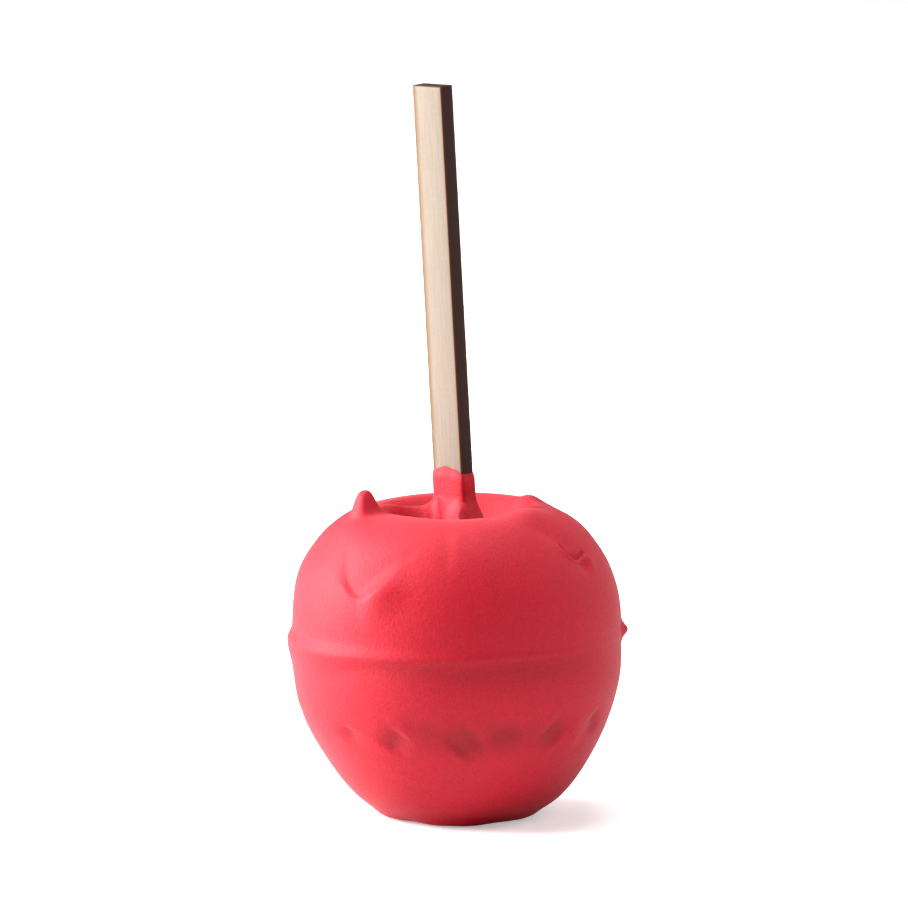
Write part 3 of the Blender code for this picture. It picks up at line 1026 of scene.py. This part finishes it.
sheet = bmesh.new()
bmesh.ops.create_grid(sheet, x_segments=1, y_segments=1, size=PAPER_REACH)
floor = new_piece("studio_floor", sheet)
floor_material, tree, shader = new_material("floor_paper")
place = add_node(tree, "ShaderNodeTexCoord").outputs["Object"]
paper = place_grain(tree, place, PAPER, **PAPER_GRAIN)
tree.links.new(paper.outputs["Color"], shader.inputs["Base Color"])
ray = add_node(tree, "ShaderNodeLightPath")
glow = mix_colors(tree, ray.outputs["Is Camera Ray"], (0, 0, 0, 1), PAPER_LIFT)
tree.links.new(glow, shader.inputs["Emission Color"])
set_inputs(shader, Emission_Strength=1.0, Roughness=PAPER_ROUGHNESS, Specular_IOR_Level=0.0)
floor.data.materials.append(floor_material)
print("floor laid")

# %% Hang the lights
LIGHTS = [
    ("key_softbox", -96, 18, 1.6, (0.8, 0.8), 51),
    ("high_softbox", -75, 50, 1.6, (0.8, 0.8), 16),
    ("top_softbox", 0, 88, 1.6, (0.8, 0.8), 15),
    ("right_fill", 70, 46, 1.6, (1.0, 0.8), 5),
    ("bounce_card", 45, 5, 1.2, (0.8, 0.2), 0.8),
    ("low_right_fill", 110, 25, 1.6, (0.8, 0.8), 4),
    ("back_softbox", 180, 50, 1.6, (0.8, 0.8), 2.5),
]
TARGET = Vector((0, 0, 0.05))
PAPER_LIGHT_PLACE = (0, 1.5, 1.6)
PAPER_LIGHT_TILT = math.radians(-20)
WORLD_STRENGTH = 0.03


def new_light(name, size, power):
    data = bpy.data.lights.new(name, "AREA")
    data.shape = "RECTANGLE"
    data.size, data.size_y = size
    data.energy = power
    lamp = bpy.data.objects.new(name, data)
    bpy.context.scene.collection.objects.link(lamp)
    return lamp


for name, azimuth, elevation, distance, size, power in LIGHTS:
    turn, rise = math.radians(azimuth), math.radians(elevation)
    direction = Vector((math.sin(turn) * math.cos(rise), -math.cos(turn) * math.cos(rise), math.sin(rise)))
    lamp = new_light(name, size, power)
    lamp.location = TARGET + direction * distance
    lamp.rotation_euler = direction.to_track_quat("Z", "Y").to_euler()
paper_light = new_light("paper_light", (2.6, 1.4), 3)
paper_light.rotation_euler = (PAPER_LIGHT_TILT, 0, 0)
paper_light.location = PAPER_LIGHT_PLACE

world = bpy.data.worlds.new("studio")
world.use_nodes = True
set_inputs(world.node_tree.nodes["Background"], Color=(1, 1, 1, 1), Strength=WORLD_STRENGTH)
bpy.context.scene.world = world
print("lights:", len(LIGHTS) + 1)

# %% [markdown]
# ## The camera
#
# The camera looks from the front and a little above, from far enough away that the lines hardly converge.
# The picture keeps plain colours, with a little more contrast.

# %% Set the camera
CAMERA_ELEVATION = math.radians(8.5)
CAMERA_DISTANCE = 3.0
VIEW_WIDTH = 0.2153
CLIP_END = 50
AIM = Vector((-0.0005, 0, 0.0867))
camera_data = bpy.data.cameras.new("camera")
camera_data.lens = camera_data.sensor_width * CAMERA_DISTANCE / VIEW_WIDTH
camera_data.clip_end = CLIP_END
camera = bpy.data.objects.new("camera", camera_data)
back = Vector((0, -math.cos(CAMERA_ELEVATION), math.sin(CAMERA_ELEVATION)))
camera.location = AIM + back * CAMERA_DISTANCE
camera.rotation_euler = back.to_track_quat("Z", "Y").to_euler()
bpy.context.scene.collection.objects.link(camera)
bpy.context.scene.camera = camera
bpy.context.scene.view_settings.view_transform = "Standard"
bpy.context.scene.view_settings.look = "Medium High Contrast"
print("lens, mm:", round(camera_data.lens, 1))

# %% [markdown]
# ## Joining the pieces to the model
#
# The apple and its stick are one body, so both pieces ride on it. Each stands for its own solid, which
# is hidden.

# %% Finish
for piece, node, slot in ((coating, "coated_apple", "coating"), (stick, "stick", "wood")):
    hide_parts(node)
    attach(piece, "root")
